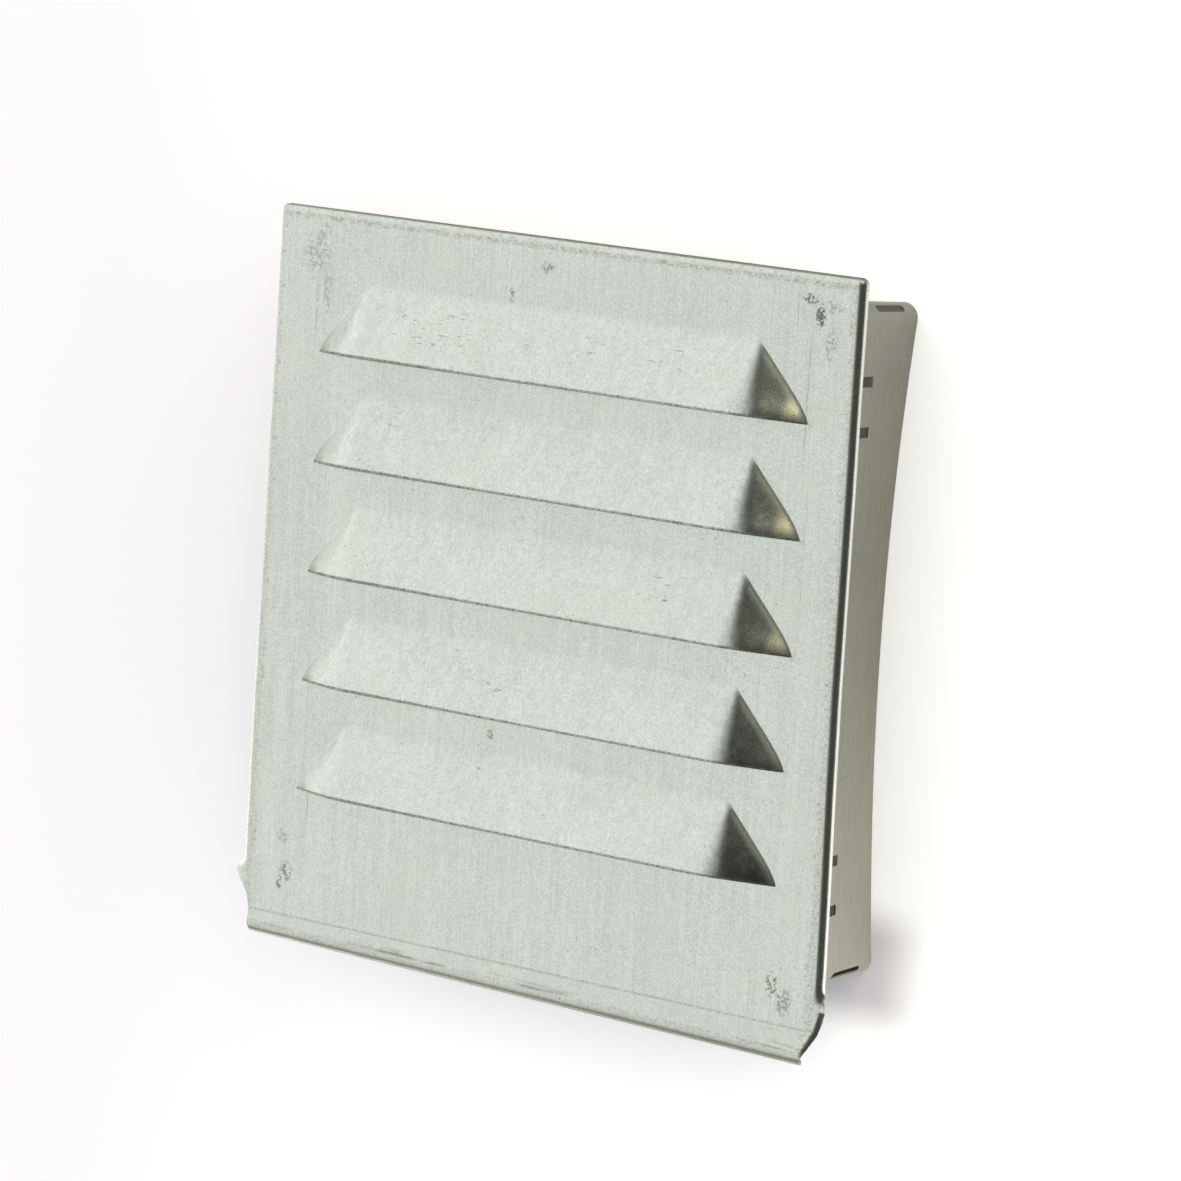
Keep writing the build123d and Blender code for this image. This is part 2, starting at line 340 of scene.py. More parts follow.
class PlateShape:
    """Where the plate's outer skin lies: its flat, folds, drip nose, spurs and louvres."""

    def __init__(self, plate, louvre):
        self.plate = plate
        self.louvre = louvre
        self.half = plate.width / 2
        self.flat_half = self.half - plate.fold_radius
        self.flat_top = plate.top - plate.fold_radius
        self.rim_lip = RIM_DEPTH - plate.fold_radius
        self.slope = louvre.reach / (louvre.rise - louvre.lip_lift)
        self.crease_run = 0.0008
        # How far the flat field's edges stand out from straight lines, by the height above the crease
        self.drifts = {
            False: ((0.035, 0.070, 0.138, 0.206, 0.241), (0.0005, 0.0004, -0.0004, -0.0010, -0.0012)),
            True: ((0.019, 0.044, 0.076, 0.107, 0.171, 0.203, 0.241),
                   (0.0014, 0.0010, 0.0003, -0.00015, -0.0003, -0.0005, -0.00055)),
        }
        self.feet = [self.nose_at(side * self.half, 3.0)[1] for side in (-1, 1)]
        # How far in from a tip the hood's edge stands, by its height
        self.edge_runs = np.linspace(0, 0.03, 121)
        edge_reach = 0.465 * self.edge_runs + 0.0011 * (1 - np.exp(-self.edge_runs / 0.0021))
        self.edge_rises = edge_reach * (1 / self.slope + louvre.lip_lift / louvre.reach)

    def nose_at(self, x, share):
        """Depth, height over the crease and inward direction, at shares down crease, strip, nose and lip."""
        plate = self.plate
        kick = ((plate.kick_left + plate.kick_right) / 2
                + (plate.kick_right - plate.kick_left) * x / plate.width)
        turn = plate.kick_angle
        radius = plate.nose_radius
        tight = self.crease_run / turn
        bent = np.clip(share, 0, 1) * turn
        strip = np.clip(share - 1, 0, 1) * kick
        rolled = np.clip(share - 2, 0, 1) * (turn + math.pi / 2)
        to_nose_end = tight * (1 - math.cos(turn)) + kick * math.sin(turn) - radius * math.cos(turn)
        lip = np.clip(share - 3, 0, 1) * (to_nose_end + RIM_DEPTH - 0.00002)
        forward = (tight * (1 - np.cos(bent)) + strip * math.sin(turn)
                   + radius * (np.cos(turn - rolled) - math.cos(turn)) - lip)
        fall = (tight * np.sin(bent) + strip * math.cos(turn)
                + radius * (math.sin(turn) - np.sin(turn - rolled)))
        heading = bent - rolled
        return FRONT - forward, -fall, np.cos(heading), -np.sin(heading)

    def snip(self, height, right):
        """Half width of the snipped blank at a height above the crease, below the spur."""
        plate = self.plate
        foot, knee, spur = RIGHT_SNIP if right else LEFT_SNIP
        heights = ((self.feet[1], RIGHT_KNEE, plate.right_spur) if right
                   else (self.feet[0], LEFT_KNEE, plate.left_spur))
        edges = (self.half + foot, self.half + knee, self.half + plate.spur_reach + spur)
        return np.interp(height, heights, edges)

    def flat_edge(self, height, right):
        """Half width of the flat field at a height above the crease."""
        return self.flat_half + np.interp(height, *self.drifts[right])

    def side_fold(self, height, right, share):
        """Outward and inward distances over a side fold, at heights over the crease and shares of length."""
        plate = self.plate
        height = np.asarray(height, dtype=float)[:, None]
        spur = plate.right_spur if right else plate.left_spur
        down = np.clip((spur - height) / (spur - self.feet[int(right)]), 0, 1)
        full = spur + (OPEN_RISE if right else 0)
        opened = 1 - smooth_step(height, full, full + plate.flare_run)
        fade = (-0.0006, 0.0006) if right else (-0.0014, 0)
        below = 1 - smooth_step(height, spur + fade[0], spur + fade[1])
        edge = self.snip(height, right)
        flat = self.flat_edge(height, right)
        soft = opened if right else opened * 0
        start = np.minimum(flat - OPEN_SHIFT * soft, edge - SNIP_MARGIN + (1 - below) * 0.01)
        turn = math.pi / 2 + (plate.flare_angle * (1 - down) ** 2 - math.pi / 2) * opened
        arc = plate.fold_radius * math.pi / 2
        roll_turn = EDGE_ROLL * below * (1 - 0.75 * down) * (1 if right else 0)
        roll_arc = (0.0023 - 0.0013 * down) * EDGE_ROLL
        length = arc + self.rim_lip + plate.flare_gain * opened + (flat - start)
        # Seen from the front right, the opened right fold's free edge keeps in line and rises at its spur
        in_line = (flat + plate.fold_radius) * SEEN_SIDE + RIM_DEPTH * SEEN_DEPTH
        in_line = in_line + 0.0003 * np.exp(-np.maximum(height - spur, 0) / 0.0022)
        steps = (share[1:] + share[:-1]) / 2
        for _ in range(30):
            along = steps[None, :] * length
            fold = turn * np.clip((along - (flat - start) * (1 - soft)) / (arc + (flat - start) * soft), 0, 1)
            roll = roll_turn * np.clip(1 - ((1 - steps[None, :]) * length - 0.0002) / roll_arc, 0, 1)
            heading = np.maximum(fold, roll)
            run = np.diff(share)[None, :] * length
            outward = start + np.pad(np.cumsum(np.cos(heading) * run, axis=1), ((0, 0), (1, 0)))
            inward = np.pad(np.cumsum(np.sin(heading) * run, axis=1), ((0, 0), (1, 0)))
            length = length + (edge - outward[:, -1:]) * below
            if right:
                seen = outward[:, -1:] * SEEN_SIDE + inward[:, -1:] * SEEN_DEPTH
                length = length + (in_line - seen) * opened * (1 - below)
        outward = np.minimum(outward, self.half + plate.spur_reach + RIGHT_SNIP[2])
        return outward, np.minimum(inward, RIM_DEPTH - 0.00001)

    def inboard(self, x):
        """How far a place along the bank lies inside the nearer tip."""
        return np.maximum(self.louvre.length / 2 - np.abs(x - self.louvre.shift), 0)

    def end_rise(self, run, up, tip):
        """How far a hood's end stands out, at a distance in from its edge and a height above its tip."""
        run = np.clip(run, -0.004, 0.06)
        bent = np.minimum(run, 0.024)
        rise = 0.50 * bent - 6 * np.maximum(bent - 0.010, 0) ** 2 + 0.33 * (run - bent)
        roll = 0.0014 * (0.15 + 0.85 * smooth_step(tip, -0.09, 0.02))
        rolled = (0.0002 + roll * np.exp(-(np.maximum(up, 0) / 0.0055) ** 2)) * (1 - np.exp(-run / 0.0024))
        return np.where(run < 0, run, rise + rolled)

    def bend_softness(self, x):
        """Softness of the bend between the hood and the plate at a place along the bank."""
        louvre = self.louvre
        face = smooth_step(self.inboard(x), 0.015, 0.023)
        return louvre.end_bend + (louvre.top_bend - louvre.end_bend) * face

    def hood_rows(self, x, tip):
        """Heights at which a hood's column starts, at the lip, and ends, in the plate."""
        louvre = self.louvre
        inboard = self.inboard(x)
        corner = louvre.corner + louvre.corner_gain * louvre.reach
        reach = np.maximum(smooth_least(self.end_rise(inboard, 0, tip), louvre.reach, corner), 0)
        low = tip + louvre.lip_lift * reach / louvre.reach
        soft = self.bend_softness(x)
        edge = np.interp(inboard, self.edge_runs, self.edge_rises)
        edge = edge + 2.2 * np.minimum(louvre.end_bend, inboard * 0.5)
        top = louvre.lip_lift + (louvre.reach + soft) / self.slope
        return low, np.maximum(tip + smooth_least(edge, top, 0.0008), low)

    def hood_point(self, x, z, tip):
        """How far the hood stands out at a place."""
        louvre = self.louvre
        edge = np.interp(z - tip, self.edge_rises, self.edge_runs)
        end = self.end_rise(self.inboard(x) - edge, z - tip, tip)
        face = (tip + louvre.lip_lift - z) * self.slope + louvre.reach
        corner = louvre.corner + louvre.corner_gain * np.clip(face, 0, louvre.reach)
        return smooth_positive(smooth_least(end, face, corner), self.bend_softness(x))


def louvre_columns(louvre):
    """Places of the columns along a louvre, close together at its tips and corners."""
    half = louvre.length / 2
    inward = stretches((0, 0.004, 10), (0.0046, 0.0165, 16), (0.0170, 0.0245, 19), (0.026, half, 24))
    return louvre.shift + np.concatenate([inward - half, half - inward[-2::-1]])


def front_plate_skin(shape):
    """The plate's outer skin: flat field, hoods, folds, corners and drip nose."""
    plate, louvre = shape.plate, shape.louvre
    skin = Skin()
    column_share = np.linspace(-1, 1, 79)
    heights = stretches((0, 0.020, 51), (0.0212, 0.034, 11), (0.037, shape.flat_top - plate.crease, 67))
    fold_share = np.linspace(0, 1, 21)
    tips = [plate.crease + louvre.lowest + row * louvre.pitch for row in range(louvre.count)]
    columns = louvre_columns(louvre)

    # Hoods, from the lip back to the plate, and the holes that they leave in the flat field
    holes = []
    row_share = 1 - (1 - np.linspace(0, 1, 17)) ** 1.7
    for tip in tips:
        low, high = shape.hood_rows(columns, tip)
        z = low[None, :] + row_share[:, None] * (high - low)[None, :]
        y = FRONT - shape.hood_point(columns, z, tip)
        y[-1, :] = FRONT
        z[:, 0] = z[:, -1] = tip
        y[:, 0] = y[:, -1] = FRONT
        skin.add_grid(joined(columns, y, z))
        holes.append(np.concatenate([joined(columns, z[-1]), joined(columns[-2:0:-1], tip)]))

    # Flat field between the folds
    left_fold = shape.side_fold(heights, False, fold_share)
    right_fold = shape.side_fold(heights, True, fold_share)
    left_flat = left_fold[0][:, 0]
    right_flat = right_fold[0][:, 0]
    z_rows = plate.crease + heights
    bottom_x = spread(column_share, left_flat[0], right_flat[0])
    top_x = spread(column_share, left_flat[-1], right_flat[-1])
    border = field_border(bottom_x, top_x, -left_flat, right_flat, z_rows)
    inner_z = np.arange(z_rows[0] + 0.003, z_rows[-1] - 0.001, 0.0032)
    inner_x = np.linspace(-shape.flat_half + 0.003, shape.flat_half - 0.003, 70)
    flat, faces = cut_field(border, holes, inner_x, inner_z, 0.0013, 3)
    skin.add(joined(flat[:, 0], FRONT, flat[:, 1]), faces)

    # Side folds over the flat's height, opened towards the spurs
    for side, (outward, inward) in ((-1, left_fold), (1, right_fold)):
        skin.add_grid(joined(side * outward, FRONT + inward, z_rows[:, None]), flip=side < 0)

    # Top fold and its two rounded corners
    outward, inward = shape.side_fold([0.1], True, fold_share)
    outward = outward[0] - outward[0][0]
    corners = {-1: left_flat[-1], 1: right_flat[-1]}
    y = FRONT + inward[0]
    skin.add_grid(joined(top_x[None, :], y[:, None], (shape.flat_top + outward)[:, None]))
    turn = np.linspace(0, math.pi / 2, 13)
    for side in (-1, 1):
        ring_x = side * (corners[side] + outward[None, :] * np.cos(turn)[:, None])
        ring_z = shape.flat_top + outward[None, :] * np.sin(turn)[:, None]
        skin.add_grid(joined(ring_x, y[None, :], ring_z), flip=side < 0)

    # Drip nose under the crease, with the right end rolled back along its snipped corner
    down = stretches((0, 1, 5), (1, 2, 9), (2, 3, 17), (3, 4, 4))
    folds = []
    for side in (-1, 1):
        _, rise, _, _ = shape.nose_at(side * shape.half, down)
        folds.append(shape.side_fold(rise, side > 0, fold_share))
    trim = LIP_TRIM * np.clip(down - 3, 0, 1)[:, None]
    folds[1] = (folds[1][0] - trim, folds[1][1])
    starts = [fold[0][:, :1] for fold in folds]
    x = spread(column_share[None, :], *starts)
    y, rise, _, _ = shape.nose_at(x, down[:, None])
    skin.add_grid(joined(x, y, plate.crease + rise), flip=True)
    for side, (outward, inward) in zip((-1, 1), folds):
        y, rise, back_y, back_z = shape.nose_at(side * outward, down[:, None])
        depth = inward * (1 - 0.8 * smooth_step(down, 1.8, 2.5))[:, None]
        y = np.minimum(y + depth * back_y, -0.00001)
        z = plate.crease + rise + depth * back_z
        skin.add_grid(joined(side * outward, y, z), flip=side > 0)
    return skin


# The wall sleeve


class SleeveShape:
    """Where the sleeve's outer skin lies, by its way round the four walls and its depth."""

    def __init__(self, sizes):
        self.sizes = sizes
        self.half = (sleeve_high[0] - sleeve_low[0]) / 2
        self.low, self.high = sleeve_low[2], sleeve_high[2]
        self.depth = sleeve_high[1] - BACK - 0.00001
        self.wide = 2 * (self.half - sizes.corner)
        self.tall = self.high - self.low - 2 * sizes.corner
        self.arc = sizes.corner * math.pi / 2
        self.starts = np.cumsum([0, self.tall, self.arc, self.wide, self.arc, self.tall, self.arc, self.wide])
        self.lengths = np.append(np.diff(self.starts), self.arc)
        setback = sizes.tab_setback - sizes.corner
        # Where each wall's tab starts and ends on the way round
        self.tabs = [(self.starts[wall] + setback, self.starts[wall + 1] - setback) for wall in (0, 2, 4, 6)]

    def place(self, way, depth):
        """The skin's point at a way round, from the right wall's foot, and a depth behind the plate."""
        corner = self.sizes.corner
        part = np.clip(np.searchsorted(self.starts, way, side="right") - 1, 0, 7)
        share = np.clip((way - self.starts[part]) / self.lengths[part], 0, 1)
        quarter = part // 2
        is_wall = part % 2 == 0
        inner_x = self.half - corner
        middle_z = (self.high + self.low) / 2
        inner_z = (self.high - self.low) / 2 - corner
        corner_x = np.array([inner_x, -inner_x, -inner_x, inner_x])
        corner_z = np.array([inner_z, inner_z, -inner_z, -inner_z])
        start_x, start_z = np.roll(corner_x, 1), np.roll(corner_z, 1)
        turn = quarter * math.pi / 2 + np.where(is_wall, 0, share * math.pi / 2)
        way_x = start_x[quarter] + (corner_x - start_x)[quarter] * share
        way_z = start_z[quarter] + (corner_z - start_z)[quarter] * share
        base_x = np.where(is_wall, way_x, corner_x[quarter])
        base_z = np.where(is_wall, way_z, corner_z[quarter])
        past = np.clip(depth / self.depth, 0, 1)
        bow = np.where(is_wall, self.sizes.bow * 4 * share * (1 - share), 0) * past
        radius = corner - bow
        inward = np.where(depth < 0, self.tab_inward(-depth), 0)
        radius = radius - inward
        x = base_x + radius * np.cos(turn)
        z = base_z + radius * np.sin(turn)
        height_share = np.clip((z - (self.low - middle_z)) / (self.high - self.low), 0, 1)
        z = z + middle_z - self.sizes.fall * past * height_share
        y = BACK + np.where(depth < 0, self.tab_depth(-depth), np.maximum(depth, 0))
        return joined(x, y, z)

    def tab_inward(self, along):
        """How far a point on a tab lies inside the wall's outer face, past the fold's start."""
        radius = self.sizes.tab_radius
        turn = np.minimum(along / radius, math.pi / 2)
        return radius * (1 - np.cos(turn)) + np.maximum(along - radius * math.pi / 2, 0)

    def tab_depth(self, along):
        """How far behind the plate a point on a tab's fold lies."""
        radius = self.sizes.tab_radius
        return radius * (1 - np.sin(np.minimum(along / radius, math.pi / 2)))


def sleeve_skin(shape):
    """The sleeve's outer skin, with tabs, slots and holes."""
    sizes = shape.sizes
    radius = sizes.tab_radius
    fold = radius * math.pi / 2
    tab_end = fold + sizes.tab
    holes = []
    for quarter in range(4):
        bend = shape.starts[2 * quarter + 1] + shape.arc / 2 + sizes.slot_shift * (0, 0, -1, 1)[quarter]
        for number in range(2):
            start = sizes.slot_margin + number * (sizes.slot_length + sizes.slot_bridge)
            holes.append(slot_outline(bend, start, sizes.slot_length, sizes.slot_width))
    for wall in (0, 4):
        for margin in (sizes.first_margin, sizes.second_margin):
            for end in (margin - sizes.corner, shape.tall + sizes.corner - margin):
                middle = shape.starts[wall] + end
                holes.append(oblong_outline(middle, sizes.hole_depth, sizes.hole_height, sizes.hole_length))
    counts = (45, 11, 41, 11, 45, 11, 41, 11)
    ways = stretches(*zip(shape.starts, shape.starts + shape.lengths, counts))
    depths = np.linspace(0, shape.depth, 17)
    border = field_border(ways, ways, ways[0], ways[-1], depths)
    flat, faces = cut_field(border, holes, ways[1:-1], depths[1:-1], 0.0003)
    skin = Skin()
    skin.add(sleeve_points(shape, flat[:, 0], flat[:, 1]), faces[:, ::-1])
    tab_rows = stretches((0, fold, 5), (fold, tab_end, 4))
    taper = np.maximum(tab_rows - fold, 0)[:, None]
    for start, end in shape.tabs:
        inside = ways[(ways >= start) & (ways <= end)]
        way = np.clip(inside[None, :], start + taper, end - taper)
        skin.add_grid(sleeve_points(shape, way, -tab_rows[:, None]))
    return skin


def sleeve_points(shape, way, depth):
    """Skin points, with the wall set back where a tab's fold takes its place."""
    points = shape.place(way, depth)
    radius = shape.sizes.tab_radius
    lifted = BACK + radius + depth * (shape.depth - radius) / shape.depth
    for start, end in shape.tabs:
        on_tab = (way >= start - 1e-9) & (way <= end + 1e-9) & (depth >= 0)
        points[..., 1] = np.where(on_tab, lifted, points[..., 1])
    return points


def slot_outline(way, start, length, width):
    """A slot with round ends on the flat strip."""
    radius = width / 2
    turn = np.linspace(0, math.pi, 9)
    back_turn = turn + math.pi
    front = joined(way + radius * np.cos(back_turn), start + radius + radius * np.sin(back_turn))
    rear = joined(way + radius * np.cos(turn), start + length - radius + radius * np.sin(turn))
    steps = np.linspace(start + radius, start + length - radius, 7)[1:-1]
    right = joined(way + radius, steps)
    left = joined(way - radius, steps[::-1])
    return np.concatenate([front, right, rear, left])


def oblong_outline(way, depth, height, length):
    """A rectangular hole on the flat strip."""
    corners = np.array([(way - height / 2, depth - length / 2), (way + height / 2, depth - length / 2),
                        (way + height / 2, depth + length / 2), (way - height / 2, depth + length / 2)])
    sides = [start + (end - start) * share for start, end in zip(corners, np.roll(corners, -1, axis=0))
             for share in (0, 0.33, 0.67)]
    return np.array(sides)


# Shaders


class Value:
    """One value or link in a shader, on which sums are written as Python expressions."""

    def __init__(self, shader, socket):
        self.shader = shader
        self.socket = socket

    def math(self, operation, *others):
        """A Math node on this value and others."""
        return self.shader.node("ShaderNodeMath", {"operation": operation}, dict(enumerate((self, *others))))

    def __add__(self, other):
        return self.math("ADD", other)

    def __sub__(self, other):
        return self.math("SUBTRACT", other)

    def __mul__(self, other):
        return self.math("MULTIPLY", other)

    def __truediv__(self, other):
        return self.math("DIVIDE", other)

    def __rsub__(self, other):
        return self.shader.node("ShaderNodeMath", {"operation": "SUBTRACT"}, {0: other, 1: self})

    __radd__ = __add__
    __rmul__ = __mul__

    def abs(self):
        """The value without its sign."""
        return self.math("ABSOLUTE")

    def most(self, other):
        """The greater of two values."""
        return self.math("MAXIMUM", other)

    def least(self, other):
        """The lesser of two values."""
        return self.math("MINIMUM", other)

    def step(self, low, high, out_low=0.0, out_high=1.0):
        """A smooth step between two levels."""
        inputs = {0: self, 1: low, 2: high, 3: out_low, 4: out_high}
        return self.shader.node("ShaderNodeMapRange", {"interpolation_type": "SMOOTHSTEP"}, inputs)


class Shader:
    """A node tree that is filled through one method."""

    def __init__(self, owner):
        owner.use_nodes = True
        self.tree = owner.node_tree
        self.tree.nodes.clear()

    def node(self, kind, settings, inputs, output=0):
        """Adds a node: its settings first, then its sockets' values or links."""
        made = self.tree.nodes.new(kind)
        for name, setting in settings.items():
            setattr(made, name, setting)
        for key, content in inputs.items():
            if isinstance(content, Value):
                self.tree.links.new(content.socket, made.inputs[key])
            else:
                made.inputs[key].default_value = content
        return Value(self, made.outputs[output]) if len(made.outputs) else made

    def place(self):
        """The object's own coordinates, in metres."""
        return self.node("ShaderNodeTexCoord", {}, {}, "Object")

    def axes(self, vector):
        """The three parts of a vector."""
        made = self.tree.nodes.new("ShaderNodeSeparateXYZ")
        self.tree.links.new(vector.socket, made.inputs[0])
        return [Value(self, output) for output in made.outputs]

    def scaled(self, vector, scale):
        """A vector times three scales."""
        return self.node("ShaderNodeVectorMath", {"operation": "MULTIPLY"}, {0: vector, 1: scale})

    def noise(self, vector, scale, detail=2.0, roughness=0.6):
        """Plain noise between 0 and 1."""
        return self.node("ShaderNodeTexNoise", {}, {"Vector": vector, "Scale": scale, "Detail": detail,
                                                    "Roughness": roughness}, 0)

    def blend(self, share, first, second):
        """A colour between two, by a share."""
        made = self.tree.nodes.new("ShaderNodeMix")
        made.data_type = "RGBA"
        for socket, content in ((made.inputs[0], share), (made.inputs[6], first), (made.inputs[7], second)):
            if isinstance(content, Value):
                self.tree.links.new(content.socket, socket)
            elif isinstance(content, (int, float)):
                socket.default_value = content
            else:
                socket.default_value = (*content, 1)
        return Value(self, made.outputs[2])

    def ray(self, kind):
        """1 for the rays of one kind."""
        return self.node("ShaderNodeLightPath", {}, {}, kind)

    def zinc(self, skin, rough, strength, height, clouds):
        """Bare zinc, with a fine and a broad unevenness, as the material's surface."""
        fine = self.node("ShaderNodeBump", {}, {"Strength": strength, "Distance": 0.00004, "Height": height})
        broad = self.node("ShaderNodeBump", {}, {"Strength": 0.5, "Distance": 0.0004, "Height": clouds,
                                                 "Normal": fine})
        body = self.node("ShaderNodeBsdfPrincipled", {}, {"Base Color": skin, "Metallic": 1.0,
                                                          "Roughness": rough, "Normal": broad})
        self.node("ShaderNodeOutputMaterial", {}, {"Surface": body})


def near(value, middle, width):
    """1 at a level of a value, and 0 beyond a width from it."""
    return (value - middle).abs().step(width, width * 0.35)


def marks(x, z, ovals):
    """How strongly ovals mark a place on the plate, fading to 0 at their edges."""
    strongest = None
    for middle_x, middle_z, half_x, half_z, strength in ovals:
        along = (x - middle_x / 1000) / (half_x / 1000)
        up = (z - middle_z / 1000) / (half_z / 1000)
        mark = (along * along + up * up).step(1.0, 0.25) * strength
        strongest = strongest.most(mark) if strongest else mark
    return strongest


# Handling marks on the plate: middle x and z, half width and half height, all in millimetres, and strength
SMUDGES = (
    (95.5, 113, 4, 2, 1.2), (99.5, 108, 2.2, 4.5, 1.2), (104, 99, 2.5, 6, 0.5), (103, 111, 6, 2.5, 0.4),
    (-4.7, 111.4, 3.2, 2.6, 0.6), (-98, 106, 6, 8, 0.4), (-94.5, 113.5, 3, 3, 0.35), (-92.5, 96, 2, 14, 0.35),
    (-97.2, -104.8, 3.2, 4.2, 0.75), (-99.6, -108.6, 1.5, 3.2, 0.7), (98.2, -107.5, 2.6, 5.5, 0.75),
    (-16.2, -44.4, 1.6, 2.6, 0.5), (-18.1, 101, 1.7, 3, 0.6), (-99, -93, 2.5, 3.5, 0.4),
    (103, -112, 3.5, 6, 0.5),
)
# Patches of flat scuffs on the louvre faces, in the same order
SCUFFS = (
    (-45, 87, 27, 9, 1), (20, 89, 16, 5, 0.8), (47, 88, 12, 5, 0.8), (-62, 50, 12, 5, 0.5),
    (10, 51, 25, 6, 0.4), (47, 14, 11, 6, 1), (-40, 12, 20, 6, 0.35), (-12, -25, 17, 5, 0.9),
    (40, -26, 18, 5, 0.35), (-50, -62, 16, 5, 0.4), (35, -63, 20, 6, 0.35),
)
# Thin scribed lines: x, lower z and upper z in millimetres, and strength
SCRIBES = (
    (91, 103, 117, 0.5), (96.6, 60, 103, 0.6), (99.2, 2, 58, 0.35), (-96.6, 78, 100, 0.5),
    (-98, -60, 40, 0.25), (-89.4, -86, -77, 0.6), (-97, -74, -71, 0.6),
)


